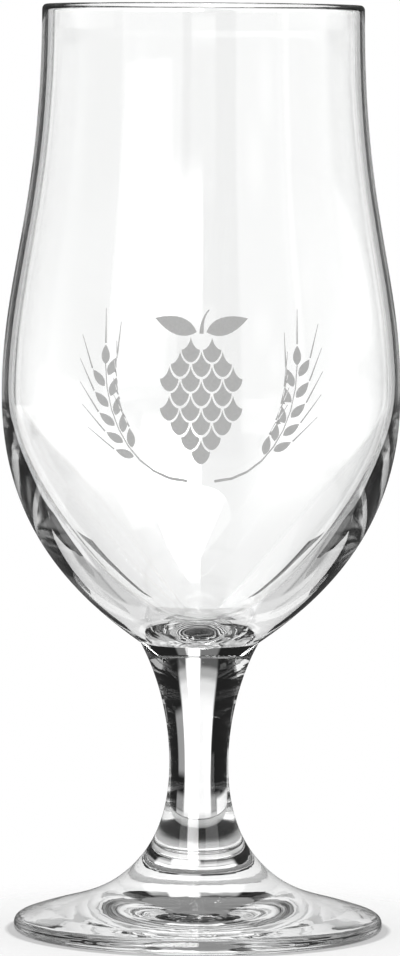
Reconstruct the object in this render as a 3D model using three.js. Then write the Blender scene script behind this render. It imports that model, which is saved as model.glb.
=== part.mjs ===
// Stemmed beer glass: a blown tulip bowl, a solid drawn stem and a pressed foot, fused in the flame.
// Millimetres, +Z up, with the origin at the centre of the plane that the foot stands on.
import * as THREE from 'three';

// Welds: each is one flat disc that two pieces share
const BOWL_WELD_DIAMETER = 23;
const FOOT_WELD_DIAMETER = 21;
const FOOT_WELD_FLARE = 36.5; // degrees that the outline leans out from upright where stem meets foot

// Bowl, with heights measured up from its weld
const BOWL_HEIGHT = 123;
const RIM_DIAMETER = 62; // outside, under the lip
const BELLY_DIAMETER = 76.9; // outside, at the widest place
const BELLY_HEIGHT = 48;
const RIM_WALL = 1.7;
const BELLY_WALL = 1.9;
const BASE_THICKNESS = 3; // glass between the hollow's lowest point and the weld
const LIP_ROUND = 1.1; // height of the fire-polished lip
const NECK_REACH = 39; // how far the neck holds its line below the lip
const SHOULDER_REACH = 23.5; // how far the belly holds its line upwards
const BELLY_REACH = 24.6; // how far the belly holds its line downwards
const BASE_FLARE = 55; // degrees from upright where the bowl leaves its weld
const BASE_REACH = 17; // how far the bowl holds that flare
const HOLLOW_DROP = 25.1; // how far the hollow's wall holds its line below the belly
const HOLLOW_REACH = 10.9; // how far the hollow's bottom holds level from the axis

// Stem, with heights measured up from its lower weld
const STEM_LENGTH = 41;
const WAIST_DIAMETER = 11.4;
const WAIST_HEIGHT = 17.3;
const WAIST_REACH = 8.5; // how far the waist holds its line, up and down
const STEM_TOP_FLARE = 29; // degrees from upright under the bowl
const STEM_TOP_REACH = 7.4;
const STEM_FOOT_REACH = 4.2;

// Foot, with heights measured up from the resting plane
const FOOT_HEIGHT = 15;
const FOOT_DIAMETER = 71.4;
const FOOT_FLARE_REACH = 10.8; // how far the flare runs on below the weld
const EDGE_HEIGHT = 3.4; // where the sloping top breaks into the rounded edge
const EDGE_WIDTH = 2.7; // breadth of that rounded edge, seen from above
const EDGE_FALL = 19; // degrees that the top slopes down at the edge
const TOP_REACH = 8; // how far the top holds that slope inwards
const NOSE_ROUND = 1.8; // fullness of the rounded edge
const SOLE_ROUND = 1; // small round between the edge and the resting ring
const RING_WIDTH = 7; // flat ring that the glass stands on
const HOLLOW_RISE = 2.2; // height of the hollow under the foot
const HOLLOW_CROWN = 15; // half width of that hollow's flat crown

// Facets
const TURN_STEPS = 48;
const CURVE_STEPS = 10;

const degrees = THREE.MathUtils.degToRad;
const bowlWeldRadius = BOWL_WELD_DIAMETER / 2;
const footWeldRadius = FOOT_WELD_DIAMETER / 2;

// Clear soda-lime glass
function glass() {
  return new THREE.MeshStandardMaterial({
    color: 0xf2f6f5,
    roughness: 0.03,
    metalness: 0,
    transparent: true,
    opacity: 0.35,
  });
}

// Turns a closed half outline (x = radius, y = height) about the upright axis
function turned(name, outline) {
  const geometry = new THREE.LatheGeometry(outline.getPoints(CURVE_STEPS), TURN_STEPS);
  geometry.rotateX(Math.PI / 2);
  const piece = new THREE.Mesh(geometry, glass());
  piece.name = name;
  return piece;
}

// Step of a given length along a line that leans out from upright
function lean(angle, length) {
  return new THREE.Vector2(Math.sin(degrees(angle)) * length, Math.cos(degrees(angle)) * length);
}

// Bowl: one glass shell, outside from weld to lip, then inside from lip to the bottom of the hollow
function makeBowl() {
  const rim = RIM_DIAMETER / 2;
  const belly = BELLY_DIAMETER / 2;
  const lipStart = BOWL_HEIGHT - LIP_ROUND;
  const lipPull = lipStart + LIP_ROUND * 4 / 3; // a cubic crests at three quarters of its pull
  const innerRim = rim - RIM_WALL;
  const innerBelly = belly - BELLY_WALL;
  const base = lean(BASE_FLARE, BASE_REACH);
  const outline = new THREE.Path();
  outline.moveTo(0, 0);
  outline.lineTo(bowlWeldRadius, 0);
  outline.bezierCurveTo(
    bowlWeldRadius + base.x, base.y,
    belly, BELLY_HEIGHT - BELLY_REACH,
    belly, BELLY_HEIGHT,
  );
  outline.bezierCurveTo(
    belly, BELLY_HEIGHT + SHOULDER_REACH,
    rim, lipStart - NECK_REACH,
    rim, lipStart,
  );
  outline.bezierCurveTo(rim, lipPull, innerRim, lipPull, innerRim, lipStart);
  outline.bezierCurveTo(
    innerRim, lipStart - NECK_REACH,
    innerBelly, BELLY_HEIGHT + SHOULDER_REACH,
    innerBelly, BELLY_HEIGHT,
  );
  outline.bezierCurveTo(
    innerBelly, BELLY_HEIGHT - HOLLOW_DROP,
    HOLLOW_REACH, BASE_THICKNESS,
    0, BASE_THICKNESS,
  );
  return turned('bowl', outline);
}

// Stem: solid, drawn in to a waist between its two welds
function makeStem() {
  const waist = WAIST_DIAMETER / 2;
  const foot = lean(FOOT_WELD_FLARE, STEM_FOOT_REACH);
  const top = lean(STEM_TOP_FLARE, STEM_TOP_REACH);
  const outline = new THREE.Path();
  outline.moveTo(0, 0);
  outline.lineTo(footWeldRadius, 0);
  outline.bezierCurveTo(
    footWeldRadius - foot.x, foot.y,
    waist, WAIST_HEIGHT - WAIST_REACH,
    waist, WAIST_HEIGHT,
  );
  outline.bezierCurveTo(
    waist, WAIST_HEIGHT + WAIST_REACH,
    bowlWeldRadius - top.x, STEM_LENGTH - top.y,
    bowlWeldRadius, STEM_LENGTH,
  );
  outline.lineTo(0, STEM_LENGTH);
  return turned('stem', outline);
}

// Foot: pressed disc, hollow underneath, rounded at the edge and drawn up to the stem
function makeFoot() {
  const rim = FOOT_DIAMETER / 2;
  const sole = rim - SOLE_ROUND;
  const edge = rim - EDGE_WIDTH;
  const fall = lean(90 - EDGE_FALL, 1);
  const flare = lean(FOOT_WELD_FLARE, FOOT_FLARE_REACH);
  const outline = new THREE.Path();
  outline.moveTo(0, HOLLOW_RISE);
  outline.quadraticCurveTo(HOLLOW_CROWN, HOLLOW_RISE, sole - RING_WIDTH, 0);
  outline.lineTo(sole, 0);
  outline.quadraticCurveTo(rim, 0, rim, SOLE_ROUND);
  outline.bezierCurveTo(
    rim, SOLE_ROUND + NOSE_ROUND,
    edge + fall.x * NOSE_ROUND, EDGE_HEIGHT - fall.y * NOSE_ROUND,
    edge, EDGE_HEIGHT,
  );
  outline.bezierCurveTo(
    edge - fall.x * TOP_REACH, EDGE_HEIGHT + fall.y * TOP_REACH,
    footWeldRadius + flare.x, FOOT_HEIGHT - flare.y,
    footWeldRadius, FOOT_HEIGHT,
  );
  outline.lineTo(0, FOOT_HEIGHT);
  return turned('foot', outline);
}

// The three pieces stand on each other, weld face to weld face
const foot = makeFoot();
const stem = makeStem();
stem.position.z = FOOT_HEIGHT;
const bowl = makeBowl();
bowl.position.z = FOOT_HEIGHT + STEM_LENGTH;

const beerGlass = new THREE.Group();
beerGlass.name = 'stemmed_beer_glass';
beerGlass.add(foot, stem, bowl);

export default beerGlass;
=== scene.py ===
import math

import bpy
from mathutils import Matrix, Vector


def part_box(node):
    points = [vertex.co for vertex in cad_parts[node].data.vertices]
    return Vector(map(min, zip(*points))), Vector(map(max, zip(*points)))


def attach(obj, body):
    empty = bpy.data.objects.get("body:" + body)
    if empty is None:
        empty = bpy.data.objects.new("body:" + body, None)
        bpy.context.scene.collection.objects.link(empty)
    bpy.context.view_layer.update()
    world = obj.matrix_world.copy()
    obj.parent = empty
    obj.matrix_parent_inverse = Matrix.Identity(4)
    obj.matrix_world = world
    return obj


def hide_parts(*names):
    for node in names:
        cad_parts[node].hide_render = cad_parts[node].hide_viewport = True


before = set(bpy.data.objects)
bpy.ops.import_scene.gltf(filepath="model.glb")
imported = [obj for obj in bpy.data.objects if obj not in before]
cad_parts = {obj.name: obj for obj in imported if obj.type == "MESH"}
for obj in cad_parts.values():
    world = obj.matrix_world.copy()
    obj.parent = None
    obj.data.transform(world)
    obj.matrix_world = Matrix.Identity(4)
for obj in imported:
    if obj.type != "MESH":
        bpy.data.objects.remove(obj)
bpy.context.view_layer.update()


# Foot
# A pressed disc of clear soda-lime glass, drawn up in the middle to meet the stem.
# Its edge is rounded in the flame, and it stands on a flat ring round a shallow hollow.
MM = 0.001
touching = 0.001 * MM
foot_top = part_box("foot")[1]
foot_radius = foot_top.x
weld_radius_low = 10.5 * MM
weld_flare_low = math.radians(36.5)
flare_reach = 10.8 * MM
edge_width = 2.7 * MM
edge_radius = foot_radius - edge_width
edge_height = 3.4 * MM
edge_fall = math.radians(19)
top_reach = 8 * MM
nose_round = 1.8 * MM
sole_round = 1 * MM
sole_pull = 0.6 * sole_round
sole_radius = foot_radius - sole_round
ring_width = 7 * MM
ring_radius = sole_radius - ring_width
hollow_rise = 2.2 * MM
hollow_crown = 15 * MM


def lean(angle, length):
    """Step along a line that leans out from upright, as (outwards, upwards)."""
    return Vector((math.sin(angle), math.cos(angle))) * length


def set_knot(knot, at, before, after):
    """Places a knot of a curve, and the two handles that pull the curve before and after it."""
    knot.handle_left_type = knot.handle_right_type = "FREE"
    knot.co = at
    knot.handle_left = before
    knot.handle_right = after


def turn_glass(name, outline):
    """Draws half an outline as one curve, and turns it about the axis.

    Each knot of the outline is (place, pull before it, pull after it), all as (outwards, upwards).
    """
    curve_steps = 32
    turn_steps = 256
    straight = math.radians(0.05)
    sharp = math.radians(40)
    bpy.ops.object.select_all(action="DESELECT")
    bpy.ops.curve.primitive_bezier_curve_add(location=(0, 0, 0))
    piece = bpy.context.object
    piece.name = name
    piece.data.name = name
    piece.data.dimensions = "3D"
    piece.data.resolution_u = curve_steps
    knots = piece.data.splines[0].bezier_points
    knots.add(len(outline) - len(knots))
    for knot, (at, before, after) in zip(knots, outline):
        set_knot(
            knot,
            (at[0], 0, at[1]),
            (at[0] + before[0], 0, at[1] + before[1]),
            (at[0] + after[0], 0, at[1] + after[1]),
        )
    bpy.ops.object.convert(target="MESH")
    bpy.ops.object.mode_set(mode="EDIT")
    bpy.ops.mesh.select_all(action="SELECT")
    bpy.ops.mesh.dissolve_limited(angle_limit=straight)
    bpy.ops.mesh.spin(steps=turn_steps, angle=2 * math.pi, center=(0, 0, 0), axis=(0, 0, 1))
    bpy.ops.mesh.select_all(action="SELECT")
    bpy.ops.mesh.remove_doubles(threshold=touching)
    bpy.ops.mesh.normals_make_consistent(inside=False)
    bpy.ops.object.mode_set(mode="OBJECT")
    bpy.ops.object.shade_smooth_by_angle(angle=sharp)
    return piece


def noise(material, vector, scale, detail, swirl=0.0):
    """Grey noise that is read along a vector, with grains about 1 / scale wide."""
    node = material.node_tree.nodes.new("ShaderNodeTexNoise")
    node.inputs["Scale"].default_value = scale
    node.inputs["Detail"].default_value = detail
    node.inputs["Distortion"].default_value = swirl
    material.node_tree.links.new(vector, node.inputs["Vector"])
    return node.outputs["Fac"]


def ramp(material, value, low, high, at_low, at_high):
    """A value that runs from at_low to at_high while another one runs from low to high."""
    node = material.node_tree.nodes.new("ShaderNodeMapRange")
    node.inputs["From Min"].default_value = low
    node.inputs["From Max"].default_value = high
    node.inputs["To Min"].default_value = at_low
    node.inputs["To Max"].default_value = at_high
    material.node_tree.links.new(value, node.inputs["Value"])
    return node.outputs["Result"]


def add_eddies(material, place, waves, wave_size, reach):
    """Waves with finer and deeper eddies added to them, within reach of the axis."""
    eddies_per_wave = 2.2
    eddy_depth = 9.0
    fading_from = 0.7  # share of the reach
    nodes, links = material.node_tree.nodes, material.node_tree.links
    flat = nodes.new("ShaderNodeVectorMath")
    flat.operation = "MULTIPLY"
    flat.inputs[1].default_value = (1, 1, 0)
    links.new(place, flat.inputs[0])
    from_axis = nodes.new("ShaderNodeVectorMath")
    from_axis.operation = "LENGTH"
    links.new(flat.outputs[0], from_axis.inputs[0])
    eddies = noise(material, place, eddies_per_wave / wave_size, detail=0.5, swirl=1.2)
    depth = ramp(material, from_axis.outputs["Value"], fading_from * reach, reach, eddy_depth, 0.0)
    both = nodes.new("ShaderNodeMath")
    both.operation = "MULTIPLY_ADD"
    links.new(eddies, both.inputs[0])
    links.new(depth, both.inputs[1])
    links.new(waves, both.inputs[2])
    return both.outputs[0]


def clear_glass(name, wave_size, wave_depth, stretch=(1, 1, 1), swirl=0.0, eddy_reach=0.0):
    """Clear glass whose polished skin keeps low waves of its making, and a trace of wear in patches."""
    patches_per_metre = 90.0
    wear_from, wear_full = 0.45, 0.75
    most_wear = 0.02
    material = bpy.data.materials.new(name)
    material.use_nodes = True
    nodes, links = material.node_tree.nodes, material.node_tree.links
    shader = nodes["Principled BSDF"]
    shader.inputs["Base Color"].default_value = (0.995, 0.998, 0.996, 1)
    shader.inputs["IOR"].default_value = 1.52
    shader.inputs["Transmission Weight"].default_value = 1.0
    place = nodes.new("ShaderNodeTexCoord").outputs["Object"]
    drawn = nodes.new("ShaderNodeMapping")
    drawn.inputs["Scale"].default_value = stretch
    links.new(place, drawn.inputs["Vector"])
    waves = noise(material, drawn.outputs["Vector"], 1 / wave_size, detail=1.0, swirl=swirl)
    if eddy_reach:
        waves = add_eddies(material, place, waves, wave_size, eddy_reach)
    bump = nodes.new("ShaderNodeBump")
    bump.inputs["Distance"].default_value = wave_depth
    links.new(waves, bump.inputs["Height"])
    links.new(bump.outputs["Normal"], shader.inputs["Normal"])
    patches = noise(material, place, patches_per_metre, detail=3.0)
    wear = ramp(material, patches, wear_from, wear_full, 0.0, most_wear)
    links.new(wear, shader.inputs["Roughness"])
    return material


def fused_face():
    """The face of a weld, which has run together with the next piece and can't be seen."""
    material = bpy.data.materials.new("fused_face")
    material.use_nodes = True
    nodes = material.node_tree.nodes
    nodes.remove(nodes["Principled BSDF"])
    clear = nodes.new("ShaderNodeBsdfTransparent")
    material.node_tree.links.new(clear.outputs[0], nodes["Material Output"].inputs["Surface"])
    return material


def finish_glass(piece, glass, weld_heights):
    """Gives a piece its glass, and its level faces at the heights of its welds the look of a weld."""
    nearly_level = 0.999
    slack = 0.01 * MM
    piece.data.materials.append(glass)
    piece.data.materials.append(fused)
    for face in piece.data.polygons:
        at_weld = any(abs(face.center.z - height) < slack for height in weld_heights)
        if at_weld and abs(face.normal.z) > nearly_level:
            face.material_index = 1


fused = fused_face()
none = Vector((0, 0))
cubic_share = 2 / 3  # of a quadratic curve's pull, for a cubic curve of the same shape
fall_in = lean(edge_fall - math.pi / 2, 1)
flare_down = lean(math.pi - weld_flare_low, 1)
foot_outline = [
    ((0, hollow_rise), none, (hollow_crown * cubic_share, 0)),
    ((ring_radius, 0), ((hollow_crown - ring_radius) * cubic_share, hollow_rise * cubic_share), none),
    ((sole_radius, 0), none, (sole_pull, 0)),
    ((foot_radius, sole_round), (0, -sole_pull), (0, nose_round)),
    ((edge_radius, edge_height), -fall_in * nose_round, fall_in * top_reach),
    ((weld_radius_low, foot_top.z), flare_down * flare_reach, none),
    ((0, foot_top.z), none, none),
]
pressed_glass = clear_glass("pressed_glass", wave_size=6 * MM, wave_depth=0.02 * MM, swirl=1.5)
foot = turn_glass("foot_glass", foot_outline)
finish_glass(foot, pressed_glass, [foot_top.z])
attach(foot, "root")
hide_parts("foot")


# Stem
# A solid rod of the same glass, drawn in to a waist while hot and flared at both ends.
# Its two end faces are fused to the foot and to the bowl, so no joint shows inside the glass.
stem_low, stem_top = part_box("stem")
weld_radius_high = 11.5 * MM
waist_radius = 5.7 * MM
waist_height = stem_low.z + 17.3 * MM
waist_reach = 8.5 * MM
stem_foot_reach = 4.2 * MM
stem_top_flare = math.radians(29)
stem_top_reach = 7.4 * MM

stem_outline = [
    ((0, stem_low.z), none, none),
    ((weld_radius_low, stem_low.z), none, -flare_down * stem_foot_reach),
    ((waist_radius, waist_height), (0, -waist_reach), (0, waist_reach)),
    ((weld_radius_high, stem_top.z), -lean(stem_top_flare, stem_top_reach), none),
    ((0, stem_top.z), none, none),
]
drawn_glass = clear_glass("drawn_glass", wave_size=4 * MM, wave_depth=0.008 * MM, stretch=(1, 1, 0.2))
stem = turn_glass("stem_glass", stem_outline)
finish_glass(stem, drawn_glass, [stem_low.z, stem_top.z])
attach(stem, "root")
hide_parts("stem")


# Bowl
# A tulip blown in a mould: thin at the lip, thicker towards the belly and heavy at the bottom.
# The lip is cut and melted round, and the bottom is fused to the stem.
bowl_low, bowl_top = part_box("bowl")
belly_radius = bowl_top.x
belly_height = bowl_low.z + 48 * MM
rim_radius = 31 * MM
rim_wall = 1.7 * MM
belly_wall = 1.9 * MM
base_thickness = 3 * MM
lip_round = 1.1 * MM
lip_start = bowl_top.z - lip_round
lip_pull = lip_round * 4 / 3  # a cubic curve crests at three quarters of its pull
neck_reach = 39 * MM
shoulder_reach = 23.5 * MM
belly_reach = 24.6 * MM
base_flare = math.radians(55)
base_reach = 17 * MM
hollow_drop = 25.1 * MM
hollow_reach = 10.9 * MM
hollow_cut = 0.55  # share of the hollow's curve before its added knot


def cut_curve(start, end, t):
    """The same curve with one more knot at t, so that its steps are finer."""
    a, d = Vector(start[0]), Vector(end[0])
    b, c = a + Vector(start[2]), d + Vector(end[1])
    ab, bc, cd = a.lerp(b, t), b.lerp(c, t), c.lerp(d, t)
    abc, bcd = ab.lerp(bc, t), bc.lerp(cd, t)
    middle = abc.lerp(bcd, t)
    return [(start[0], start[1], ab - a), (middle, abc - middle, bcd - middle), (end[0], cd - d, end[2])]


bowl_outline = [
    ((0, bowl_low.z), none, none),
    ((weld_radius_high, bowl_low.z), none, lean(base_flare, base_reach)),
    ((belly_radius, belly_height), (0, -belly_reach), (0, shoulder_reach)),
    ((rim_radius, lip_start), (0, -neck_reach), (0, lip_pull)),
    ((rim_radius - rim_wall, lip_start), (0, lip_pull), (0, -neck_reach)),
    ((belly_radius - belly_wall, belly_height), (0, shoulder_reach), (0, -hollow_drop)),
    ((0, bowl_low.z + base_thickness), (hollow_reach, 0), none),
]
bowl_outline[-2:] = cut_curve(*bowl_outline[-2:], hollow_cut)
blown_glass = clear_glass(
    "blown_glass",
    wave_size=9 * MM,
    wave_depth=0.015 * MM,
    stretch=(1, 1, 0.6),
    eddy_reach=11 * MM,
)
bowl = turn_glass("bowl_glass", bowl_outline)
finish_glass(bowl, blown_glass, [bowl_low.z])
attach(bowl, "root")
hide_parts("bowl")


# Decoration
# A grey satin picture on the front of the belly: a hop cone between two ears of barley.
# It is sandblasted through a stencil, and the blasted skin has no depth to speak of.
# It is drawn flat in millimetres, and laid on the glass as a sheet a few hundredths of one thick.
motif_height = bowl_low.z + 49.4 * MM
skin_lift = 0.02 * MM
skin_thickness = 0.04 * MM
hop_rows = [
    (9.6, (-2, 2)),
    (6.9, (-4, 0, 4)),
    (4.1, (-6, -2, 2, 6)),
    (1.4, (-4, 0, 4)),
    (-1.4, (-6, -2, 2, 6)),
    (-4.1, (-4, 0, 4)),
    (-6.9, (-2, 2)),
    (-9.6, (0,)),
]
scale_half_width = 2.0
scale_half_height = 2.75
scale_share = 0.86  # of its place, so that a bare line is left between neighbours
stalk_path = [(0, 12.6), (0, 14), (0.3, 16), (1.4, 17)]
stalk_width = 0.8
leaf_root = (0.9, 12.9)
leaf_lean = math.radians(72)
leaf_length = 8.2
leaf_width = 3.6
ear_path = [(2.6, -15.2), (11.5, -15), (18, -5.5), (18, 6.5)]
ear_width = 0.5
grains = 11
grain_start = 0.42  # share of the ear's path before its first grain
grain_step = 0.058
heading_step = 0.01
grain_lean = math.radians(28)
grain_aside = 0.45
grain_length = 3.7
grain_width = 1.65
beard_start = 4.0
beard_length = 6.5
beard_lean = 0.35  # of its grain's lean
beard_width = 0.26


def lens_shape(root, along, length, width):
    """Two knots of a pointed oval that grows from its root, at an angle from upright."""
    root_pull, tip_pull, fullness = 0.22, 0.42, 0.62
    ahead = lean(along, 1)
    aside = Vector((ahead.y, -ahead.x))
    tip = root + ahead * length
    swell = aside * width * fullness
    low, high = root + ahead * length * root_pull, tip - ahead * length * tip_pull
    return [(root, low - swell, low + swell), (tip, high + swell, high - swell)]


def ribbon_shape(path, width):
    """Four knots of a thin strip along a cubic curve, narrowed to a third at its far end."""
    start, bend_start, bend_end, end = path
    aside_start = (bend_start - start).orthogonal().normalized() * width / 2
    aside_end = (end - bend_end).orthogonal().normalized() * width / 6
    return [
        (start + aside_start, start + aside_start, bend_start + aside_start),
        (end + aside_end, bend_end + aside_end, end + aside_end),
        (end - aside_end, end - aside_end, bend_end - aside_end),
        (start - aside_start, bend_start - aside_start, start - aside_start),
    ]


def straight_path(start, end):
    """The path of a ribbon that doesn't bend."""
    return [start, start.lerp(end, 0.3), start.lerp(end, 0.7), end]


def cubic_point(t, a, b, c, d):
    """Place at a share of the way along a path."""
    return a * (1 - t) ** 3 + b * 3 * t * (1 - t) ** 2 + c * 3 * t * t * (1 - t) + d * t**3


def scale_shape(middle):
    """Four knots of one hop scale: hollow shoulders under its neighbours, and full sides to its tip."""
    notch, droop, fullness = 0.1, 0.5, 0.45
    right = Vector((scale_half_width, 0)) * scale_share
    down = Vector((0, -scale_half_height)) * scale_share
    top, corner_right, tip, corner_left = middle - down, middle + right, middle + down, middle - right
    return [
        (top, top - right * notch + down * droop, top + right * notch + down * droop),
        (corner_right, corner_right - right * fullness, corner_right + down * droop),
        (tip, tip + right * fullness, tip - right * fullness),
        (corner_left, corner_left + down * droop, corner_left + right * fullness),
    ]


motif = [scale_shape(Vector((place_x, row))) for row, places in hop_rows for place_x in places]
motif.append(ribbon_shape([Vector(at) for at in stalk_path], stalk_width))
for side in (-1, 1):
    leaf_place = Vector((side * leaf_root[0], leaf_root[1]))
    motif.append(lens_shape(leaf_place, side * leaf_lean, leaf_length, leaf_width))
    ear = [Vector((side * x, y)) for x, y in ear_path]
    motif.append(ribbon_shape(ear, ear_width))
    for grain in range(grains):
        t = grain_start + grain_step * grain
        at = cubic_point(t, *ear)
        ahead = cubic_point(t + heading_step, *ear) - at
        heading = math.atan2(ahead.x, ahead.y)
        way = 1 if grain % 2 else -1
        if grain == grains - 1:
            way = 0
        root = at + Vector((math.cos(heading), -math.sin(heading))) * way * grain_aside
        lean_out = way * grain_lean
        motif.append(lens_shape(root, heading + lean_out, grain_length, grain_width))
        tip = root + lean(heading + lean_out, beard_start)
        beard_end = tip + lean(heading + lean_out * beard_lean, beard_length)
        motif.append(ribbon_shape(straight_path(tip, beard_end), beard_width))

bpy.ops.object.select_all(action="DESELECT")
bpy.ops.curve.primitive_bezier_curve_add(location=(0, 0, 0))
decoration = bpy.context.object
decoration.name = "satin_decoration"
decoration.data.name = "satin_decoration"
decoration.data.dimensions = "2D"
decoration.data.fill_mode = "BOTH"
decoration.data.resolution_u = 8
decoration.data.splines.clear()
for shape in motif:
    spline = decoration.data.splines.new("BEZIER")
    spline.bezier_points.add(len(shape) - 1)
    spline.use_cyclic_u = True
    for knot, places in zip(spline.bezier_points, shape):
        set_knot(knot, *[(place.x * MM, place.y * MM, 0) for place in places])
bpy.ops.object.convert(target="MESH")
decoration.location = (0, -2 * belly_radius, motif_height)
decoration.rotation_euler = (math.pi / 2, 0, 0)
bpy.ops.object.transform_apply(location=True, rotation=True, scale=True)
bpy.ops.object.mode_set(mode="EDIT")
bpy.ops.mesh.select_all(action="SELECT")
bpy.ops.mesh.remove_doubles(threshold=touching)
bpy.ops.mesh.quads_convert_to_tris()
bpy.ops.mesh.subdivide(number_cuts=2)
bpy.ops.object.mode_set(mode="OBJECT")
wrap = decoration.modifiers.new("lay_on_bowl", "SHRINKWRAP")
wrap.target = bowl
wrap.wrap_method = "PROJECT"
wrap.use_project_y = True
wrap.use_positive_direction = True
wrap.use_negative_direction = False
wrap.offset = skin_lift
bpy.ops.object.modifier_apply(modifier=wrap.name)
skin = decoration.modifiers.new("skin", "SOLIDIFY")
skin.thickness = skin_thickness
skin.offset = 1
bpy.ops.object.modifier_apply(modifier=skin.name)
bpy.ops.object.mode_set(mode="EDIT")
bpy.ops.mesh.select_all(action="SELECT")
bpy.ops.mesh.normals_make_consistent(inside=False)
bpy.ops.object.mode_set(mode="OBJECT")


def satin_grey():
    """Blasted glass: matt, with a fine grit in its tone, its roughness and its pits."""
    grit_per_metre = 2600
    pit_depth = 0.02 * MM
    least_rough, most_rough = 0.6, 0.85
    darker, lighter = (0.405, 0.405, 0.402, 1), (0.452, 0.452, 0.45, 1)
    material = bpy.data.materials.new("satin_grey")
    material.use_nodes = True
    nodes, links = material.node_tree.nodes, material.node_tree.links
    shader = nodes["Principled BSDF"]
    shader.inputs["Specular IOR Level"].default_value = 0.25
    place = nodes.new("ShaderNodeTexCoord").outputs["Object"]
    grit = noise(material, place, grit_per_metre, detail=3.0)
    tone = nodes.new("ShaderNodeValToRGB")
    for element, position, colour in zip(tone.color_ramp.elements, (0.3, 0.7), (darker, lighter)):
        element.position = position
        element.color = colour
    links.new(grit, tone.inputs[0])
    links.new(tone.outputs["Color"], shader.inputs["Base Color"])
    roughness = ramp(material, grit, 0.0, 1.0, least_rough, most_rough)
    links.new(roughness, shader.inputs["Roughness"])
    pits = nodes.new("ShaderNodeBump")
    pits.inputs["Strength"].default_value = 0.3
    pits.inputs["Distance"].default_value = pit_depth
    links.new(grit, pits.inputs["Height"])
    links.new(pits.outputs["Normal"], shader.inputs["Normal"])
    return material


decoration.data.materials.append(satin_grey())
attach(decoration, "root")


# Floor
# A small pale sheet under the glass keeps its shadow and fades out into the white all round.
# Under the foot its colour carries painted shade and light: a dark painted shadow in the middle, and
# darker and lighter rings, which the foot bends into its swirls.
# Seen through the glass it stops at the edge of the foot, and the panels show beyond it.
floor_radius = 200 * MM
floor_gap = 0.05 * MM
# The dark middle and the rings up to the foot's edge are painted shade and light, standing in for the
# foot's shadow on the floor. Only the last ring, beyond the foot, is the paper's own pale colour.
painted_shadow_tone = 0.08
painted_shade_rings = [  # start and blur in millimetres, and tone
    (14.5, 3, 0.85),
    (27.5, 2, 0.95),
    (33.5, 1, 0.3),
    (37.2, 0.6, 0.92),
]
shadow_clear = 0.45  # share of the white that the camera sees through the sheet near the glass
shadow_end = 56 * MM
shadow_blur = 20 * MM
through_end = 38 * MM
through_blur = 3 * MM

# The helpers below add nodes to the material or world at hand, by the names nodes and links.


def join(value, socket):
    """Links another node's output to a socket, or sets a plain number on it."""
    if isinstance(value, bpy.types.NodeSocket):
        links.new(value, socket)
    else:
        socket.default_value = value


def sum_of(operation, *values):
    """Result of one sum, such as ADD or MULTIPLY."""
    node = nodes.new("ShaderNodeMath")
    node.operation = operation
    for value, socket in zip(values, node.inputs):
        join(value, socket)
    return node.outputs[0]


def length_of(vector):
    """Length of a vector, which is a place's distance from the origin."""
    node = nodes.new("ShaderNodeVectorMath")
    node.operation = "LENGTH"
    links.new(vector, node.inputs[0])
    return node.outputs["Value"]


def step_at(value, edge, blur):
    """0 below an edge and 1 above it, over a blurred width."""
    node = nodes.new("ShaderNodeMapRange")
    node.interpolation_type = "SMOOTHSTEP"
    join(value, node.inputs["Value"])
    node.inputs["From Min"].default_value = edge - blur
    node.inputs["From Max"].default_value = edge + blur
    return node.outputs["Result"]


def mixed(share, first, second):
    """First where share is 0, second where it is 1."""
    node = nodes.new("ShaderNodeMix")
    join(share, node.inputs[0])
    join(first, node.inputs[2])
    join(second, node.inputs[3])
    return node.outputs[0]


def mixed_shaders(share, first, second):
    """First where share is 0, second where it is 1, as the surface of the material at hand."""
    node = nodes.new("ShaderNodeMixShader")
    join(share, node.inputs[0])
    links.new(first.outputs[0], node.inputs[1])
    links.new(second.outputs[0], node.inputs[2])
    links.new(node.outputs[0], nodes["Material Output"].inputs["Surface"])


bpy.ops.object.select_all(action="DESELECT")
bpy.ops.mesh.primitive_circle_add(
    vertices=96,
    radius=floor_radius,
    fill_type="NGON",
    location=(0, 0, -floor_gap),
)
floor = bpy.context.object
floor.name = "floor"
# Pale paper, with painted shade and light under the foot.
paper = bpy.data.materials.new("paper_with_painted_shade")
paper.use_nodes = True
nodes, links = paper.node_tree.nodes, paper.node_tree.links
shader = nodes["Principled BSDF"]
shader.inputs["Roughness"].default_value = 0.9
shader.inputs["Specular IOR Level"].default_value = 0.0
from_axis = length_of(nodes.new("ShaderNodeTexCoord").outputs["Object"])
# Painted shade under the foot: the tone starts from the dark painted shadow in the middle and takes on
# each painted ring in turn.
pale = painted_shadow_tone
for start, blur, painted_ring_tone in painted_shade_rings:
    pale = mixed(step_at(from_axis, start * MM, blur * MM), pale, painted_ring_tone)
tone = nodes.new("ShaderNodeCombineColor")
for channel in tone.inputs:
    join(pale, channel)
links.new(tone.outputs[0], shader.inputs["Base Color"])
path = nodes.new("ShaderNodeLightPath")
seen_direct = mixed(step_at(from_axis, shadow_end, shadow_blur), shadow_clear, 1.0)
seen_through = step_at(from_axis, through_end, through_blur)
clear_share = mixed(path.outputs["Is Camera Ray"], seen_through, seen_direct)
mixed_shaders(clear_share, shader, nodes.new("ShaderNodeBsdfTransparent"))
floor.data.materials.append(paper)


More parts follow.
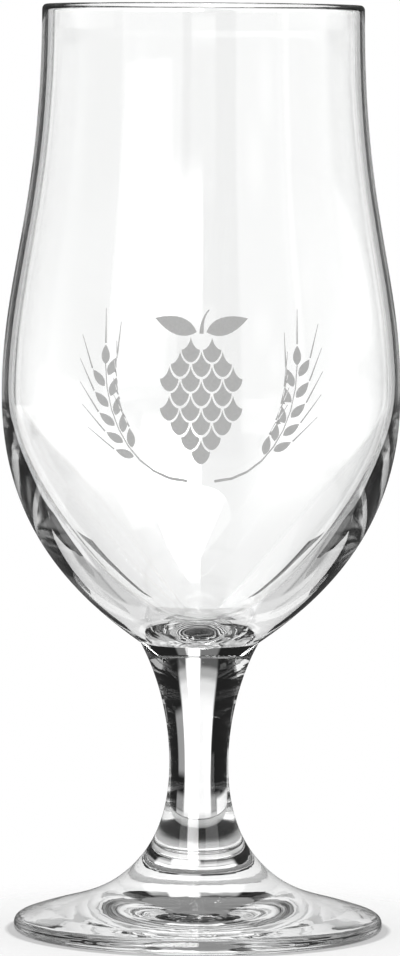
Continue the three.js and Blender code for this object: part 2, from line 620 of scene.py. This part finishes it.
# Edge cards
# Narrow strips of black, grey and white card stand beside the bowl, cut to its outline.
# The camera sees them only through the wall, which draws the bowl's edge dark with a light line inside.
# A strip's border is a list of (height, distance out from the glass), in millimetres from the top down.
card_depth = 0.2 * MM
white_low = 75 * MM
black_low = 64 * MM
black_turn_top = 72.4 * MM
grey_low, grey_top = 60 * MM, 75 * MM
low_card_depth = 8 * MM
low_card_low, low_card_top = 58 * MM, 69 * MM
against_glass = [(180, 0.05), (50, 0.05)]
dark_below = [(98, 3.9), (92, 5.2), (80, 7.6), (75, 8), (72.4, 7), (71.7, 2.4), (69.5, 1.8), (64, 1.0)]
dark_left = [(180, 2.75), (106, 2.9)] + dark_below
dark_right = [(180, 2.0), (106, 2.4)] + dark_below
light_out = [(180, 6.5), (104, 7), (80, 12), (70, 13)]
turn_in = [(72.4, 4), (71.6, 4.2), (70.4, 4.6), (69, 5.3), (67.4, 6.3), (66, 7.4), (64, 9.7)]
turn_mid = [(75, 8), (72.4, 7), (70, 7.4), (68, 7.6), (66, 8.2), (64, 9.8), (62, 11.4), (60, 14.3)]
turn_out = [(75, 8.2), (72.4, 9.2), (70, 11), (68, 12.3), (66, 12.8), (64, 13.6), (62, 14.2), (60, 14.6)]
dark_low = [(70, 5.3), (68, 5.0), (64, 2.9), (58, 2.2)]


def card(name, tone):
    """Matt card, with no gloss that could mirror a lamp."""
    material = bpy.data.materials.new(name)
    material.use_nodes = True
    shader = material.node_tree.nodes["Principled BSDF"]
    shader.inputs["Base Color"].default_value = (tone, tone, tone, 1)
    shader.inputs["Roughness"].default_value = 1.0
    shader.inputs["Specular IOR Level"].default_value = 0.0
    return material


def distance_at(border, height):
    """Distance at a height, between the two nearest places of a border."""
    for (upper, here), (lower, there) in zip(border, border[1:]):
        if height >= lower:
            return here + (there - here) * min(max((upper - height) / (upper - lower), 0), 1)
    return border[-1][1]


def hide_from_camera(piece):
    """Makes a stage piece show only through the glass."""
    piece.visible_camera = False
    piece.visible_diffuse = False
    piece.visible_glossy = False
    piece.visible_shadow = False


def edge_strip(name, side, depth, low, high, near, far, material):
    """An upright strip between two borders, beside the glass at a depth behind the axis."""
    well_outside = 100 * MM
    rows = 90
    bpy.ops.object.select_all(action="DESELECT")
    bpy.ops.mesh.primitive_grid_add(x_subdivisions=1, y_subdivisions=rows, size=1)
    strip = bpy.context.object
    strip.name = name
    for corner in strip.data.vertices:
        height = low + (corner.co.y + 0.5) * (high - low)
        border = far if corner.co.x > 0 else near
        on_glass = bowl.ray_cast((side * well_outside, depth, height), (-side, 0, 0))[1]
        corner.co = (on_glass.x + side * distance_at(border, height / MM) * MM, depth, height)
    strip.data.materials.append(material)
    hide_from_camera(strip)


black_card = card("black_card", 0.02)
grey_card = card("grey_card", 0.17)
white_card = card("white_card", 0.9)
for side, name, dark_out in ((-1, "left", dark_left), (1, "right", dark_right)):
    strips = [
        ("black_edge_", card_depth, black_low, lip_start, against_glass, dark_out, black_card),
        ("white_edge_", card_depth, white_low, lip_start, dark_out, light_out, white_card),
        ("black_turn_", card_depth, black_low, black_turn_top, turn_in, turn_mid, black_card),
        ("grey_turn_", card_depth, grey_low, grey_top, turn_mid, turn_out, grey_card),
        ("black_low_", low_card_depth, low_card_low, low_card_top, against_glass, dark_low, black_card),
    ]
    for strip, *cut in strips:
        edge_strip(strip + name, side, *cut)


# Foot veil
# A thin lit gauze is stretched over the foot, clear from outside and unseen by the camera.
# It lights only the glass that it covers, and softens the dark gaps that show through it.
veil_low = edge_height - 0.2 * MM
veil_high = 12.2 * MM
veil_radius_low = foot_radius + 0.4 * MM
veil_radius_high = 19 * MM
veil_level = 1.4
veil_cover = 0.7


def ring_sheet(name, radius_low, radius_high, low, high, sides=96):
    """An open ring of sheet round the axis, between its lower and its upper border."""
    bpy.ops.object.select_all(action="DESELECT")
    bpy.ops.mesh.primitive_cone_add(
        vertices=sides,
        radius1=radius_low,
        radius2=radius_high,
        depth=high - low,
        end_fill_type="NOTHING",
        location=(0, 0, (low + high) / 2),
    )
    sheet = bpy.context.object
    sheet.name = name
    return sheet


def bare_sheet(name):
    """A material with no shader yet, whose glow isn't looked for as a lamp."""
    material = bpy.data.materials.new(name)
    material.use_nodes = True
    material.cycles.emission_sampling = "NONE"
    material.node_tree.nodes.remove(material.node_tree.nodes["Principled BSDF"])
    return material


def glow_on_back(level, cover):
    """A sheet that glows on the back of its faces, where it covers a share of what lies beyond.

    Seen from the front of its faces it is clear.
    """
    glow = nodes.new("ShaderNodeEmission")
    join(level, glow.inputs["Strength"])
    side = nodes.new("ShaderNodeNewGeometry")
    share = sum_of("MULTIPLY", side.outputs["Backfacing"], cover)
    mixed_shaders(share, nodes.new("ShaderNodeBsdfTransparent"), glow)


veil = ring_sheet("foot_veil", veil_radius_low, veil_radius_high, veil_low, veil_high)
foot_gauze = bare_sheet("foot_gauze")
nodes, links = foot_gauze.node_tree.nodes, foot_gauze.node_tree.links
glow_on_back(veil_level, veil_cover)
veil.data.materials.append(foot_gauze)
hide_from_camera(veil)


# Stem ring
# A level ring of dim lit cloth hangs round the stem, clear from above and unseen by the camera.
# The polished sole of the foot mirrors it, which greys the middle of the foot.
ring_low, ring_high = 29.75 * MM, 30.25 * MM
ring_inside = 7 * MM
ring_outside = 46 * MM
ring_level = 0.28
ring_cover = 1.0
stem_ring = ring_sheet("stem_ring", ring_inside, ring_outside, ring_low, ring_high)
bpy.ops.object.mode_set(mode="EDIT")
bpy.ops.mesh.select_all(action="SELECT")
bpy.ops.mesh.flip_normals()
bpy.ops.object.mode_set(mode="OBJECT")
ring_cloth = bare_sheet("ring_cloth")
nodes, links = ring_cloth.node_tree.nodes, ring_cloth.node_tree.links
glow_on_back(ring_level, ring_cover)
stem_ring.data.materials.append(ring_cloth)
hide_from_camera(stem_ring)


# Light
# White panels stand round the glass with dark gaps between, so that its edges draw dark against white.
# Soft boxes and a tall window stand on the camera's side, and show only in what the surface mirrors.
# Panels are placed by azimuth, from behind the glass towards +X, and by rise, both in degrees.
gap = 0.012
floor_level = 0.65
floor_rise = -38
sheet_level = 1.05  # also the light of the white table, which some panels carry on
back_middle, back_half = 1.75, 18.25
back_level, back_low_level = 1.07, 0.8
back_low_rise = -28
back_sides = 0.5  # added towards the sides of the back panel, where the wall swallows some light
back_sides_from = 9
back_sides_low, back_sides_high = -9, 6
back_steps = [  # rise, blur and level above it
    (11, 3, 0.85),
    (17, 2, 0.45),
    (23, 2, 0.12),
    (33, 2, 0.2),
    (46, 1, gap),
]
strip_level = 1.12
strip_high_share = 0.6
strip_high_rise = 38
dark_room = 0.08
box_level = 1.6
window_level = 12.0

studio = bpy.data.worlds.new("studio")
bpy.context.scene.world = studio
studio.use_nodes = True
nodes, links = studio.node_tree.nodes, studio.node_tree.links
nodes.clear()


def parts_of(vector):
    """The three numbers of a vector."""
    node = nodes.new("ShaderNodeSeparateXYZ")
    links.new(vector, node.inputs[0])
    return node.outputs["X"], node.outputs["Y"], node.outputs["Z"]


def in_degrees(angle):
    return sum_of("MULTIPLY", angle, 180 / math.pi)


def between(value, low, high, blur):
    """1 between two edges and 0 outside them."""
    return sum_of("SUBTRACT", step_at(value, low, blur), step_at(value, high, blur))


def panel(azimuth, middle, half, blur=1.5):
    """1 where an azimuth is within half of the middle of a panel."""
    off = sum_of("PINGPONG", sum_of("SUBTRACT", azimuth, middle), 180)
    return sum_of("SUBTRACT", 1, step_at(off, half, blur))


def any_of(first, *others):
    """The largest of several values."""
    for other in others:
        first = sum_of("MAXIMUM", first, other)
    return first


def lit(level, *shares):
    """A panel's light: its level times all its shares."""
    for share in shares:
        level = sum_of("MULTIPLY", share, level)
    return level


def light_panel(level, middle, half, low, high, turn_blur=2, rise_blur=2):
    """A panel by the azimuth of its middle, half its width, and the rise of its lower and upper edge."""
    return lit(level, panel(turn, middle, half, turn_blur), between(rise, low, high, rise_blur))


way_x, way_y, way_z = parts_of(nodes.new("ShaderNodeTexCoord").outputs["Generated"])
turn = in_degrees(sum_of("ARCTAN2", way_x, way_y))
rise = in_degrees(sum_of("ARCSINE", way_z))

back = mixed(step_at(rise, back_low_rise, blur=3), back_low_level, back_level)
off_middle = step_at(sum_of("ABSOLUTE", turn), back_sides_from, blur=5)
beside = between(rise, back_sides_low, back_sides_high, blur=3)
back = sum_of("ADD", back, lit(back_sides, beside, off_middle))
for step_rise, blur, step_level in back_steps:
    back = mixed(step_at(rise, step_rise, blur), back, step_level)
round_about = any_of(
    mixed(step_at(rise, floor_rise, blur=2), floor_level, gap),
    light_panel(0.3, 0, 35, -28, -18),
    light_panel(0.5, 0, 35, -38, -28),
    light_panel(0.35, 26.5, 6.5, -10, 8),
    light_panel(sheet_level, -45, 19, -40, -20),
    light_panel(sheet_level, 135, 19, -28, -8),
    light_panel(sheet_level, -90, 21, -20, -0.5, turn_blur=3, rise_blur=1),
    light_panel(0.8, 180, 9, -4, 14, turn_blur=1.5, rise_blur=1),
    light_panel(0.95, -128, 6, 18, 38, turn_blur=1.5),
)
for side in (-1, 1):
    round_about = any_of(
        round_about,
        light_panel(0.5, side * 93, 27, -28, -1, turn_blur=4),
        light_panel(0.5, side * 93, 27, 11, 22, turn_blur=4),
        light_panel(1, side * 134, 5, 1, 6.5, turn_blur=4, rise_blur=2.5),
        light_panel(1, side * 142.5, 5.5, 7, 12.5, turn_blur=4, rise_blur=2.5),
    )
through_glass = mixed(panel(turn, back_middle, back_half), round_about, back)
strip = light_panel(strip_level, 5.5, 6.5, -40, 62, turn_blur=1)
strip = mixed(step_at(rise, strip_high_rise, blur=6), strip, lit(strip_high_share, strip))
through_glass = any_of(through_glass, strip)

left_box = lit(box_level, panel(turn, -143.5, 22), step_at(rise, -50, blur=1))
right_box = lit(box_level, panel(turn, 137, 20), step_at(rise, -12, blur=1))
window_blind = between(rise, -10, 15, blur=6)
window = lit(window_level, panel(turn, -163, 17), sum_of("SUBTRACT", 1, window_blind))
mirrored = sum_of("ADD", dark_room, any_of(left_box, right_box))
mirrored = sum_of("ADD", mirrored, window)

path = nodes.new("ShaderNodeLightPath")
level = mixed(path.outputs["Is Glossy Ray"], 1.0, mirrored)
level = mixed(path.outputs["Is Transmission Ray"], level, through_glass)
level = mixed(sum_of("MINIMUM", path.outputs["Diffuse Depth"], 1), level, 1.0)
backdrop = nodes.new("ShaderNodeBackground")
backdrop.inputs["Color"].default_value = (1, 1, 1, 1)
join(level, backdrop.inputs["Strength"])
world_out = nodes.new("ShaderNodeOutputWorld")
links.new(backdrop.outputs[0], world_out.inputs["Surface"])


# White table
# A wide white sheet lies level round the top of the stem, open in the middle and unseen by the camera.
# Only rays that leave the bowl downwards meet it, in four sectors, so the bowl is clear from every side.
table_height = bowl_low.z - 1 * MM
table_rise = 0.01 * MM
table_inside = 12.5 * MM
table_outside = 6.0
table_sides = 0.38  # added towards the sides of the back sector, as on the back panel
table_sides_from = 7
table_sides_start = 0.13
sector_half, sector_blur = 21, 3
left_back_end = 0.42
left_start = 0.36
right_front_end = 1.2

table = ring_sheet(
    "white_table",
    table_inside,
    table_outside,
    table_height - table_rise / 2,
    table_height + table_rise / 2,
    sides=128,
)
white_sheet = bare_sheet("white_sheet")
nodes, links = white_sheet.node_tree.nodes, white_sheet.node_tree.links
place = nodes.new("ShaderNodeTexCoord").outputs["Object"]
place_x, place_y, place_z = parts_of(place)
turn = in_degrees(sum_of("ARCTAN2", place_x, place_y))
from_axis = length_of(place)
back_sector = panel(turn, back_middle, back_half)
left_back = panel(turn, -45, sector_half, sector_blur)
left = panel(turn, -90, sector_half, sector_blur)
right_front = panel(turn, 135, sector_half, sector_blur)
sectors = any_of(
    back_sector,
    sum_of("MULTIPLY", left_back, sum_of("SUBTRACT", 1, step_at(from_axis, left_back_end, blur=0.03))),
    sum_of("MULTIPLY", left, step_at(from_axis, left_start, blur=0.03)),
    sum_of("MULTIPLY", right_front, sum_of("SUBTRACT", 1, step_at(from_axis, right_front_end, blur=0.05))),
)
off_middle = step_at(sum_of("ABSOLUTE", turn), table_sides_from, blur=4.5)
far_off = step_at(from_axis, table_sides_start, blur=0.08)
far_sides = lit(table_sides, off_middle, back_sector, far_off)
glow_on_back(sum_of("ADD", sheet_level, far_sides), sectors)
table.data.materials.append(white_sheet)
hide_from_camera(table)


# Camera
# A long lens a little above the lip, as the photograph was taken.
# Light goes round many times inside the wall and the stem, so it gets many bounces.
camera_place = Vector((-0.12 * MM, -1.375, 0.1994))
camera_tilt = Matrix.Rotation(math.radians(90 - 4.64), 3, "X")
camera_roll = Matrix.Rotation(math.radians(0.363), 3, "Z")
lens_length = 269.1
sensor_width = 36
far_end = 20
glass_bounces = 96
sheet_bounces = 32

bpy.ops.object.camera_add(location=camera_place)
camera = bpy.context.object
camera.rotation_euler = (camera_tilt @ camera_roll).to_euler()
camera.data.lens = lens_length
camera.data.sensor_width = sensor_width
camera.data.clip_end = far_end
scene = bpy.context.scene
scene.camera = camera
scene.view_settings.view_transform = "Standard"
scene.cycles.max_bounces = glass_bounces
scene.cycles.transmission_bounces = glass_bounces
scene.cycles.glossy_bounces = glass_bounces
scene.cycles.transparent_max_bounces = sheet_bounces
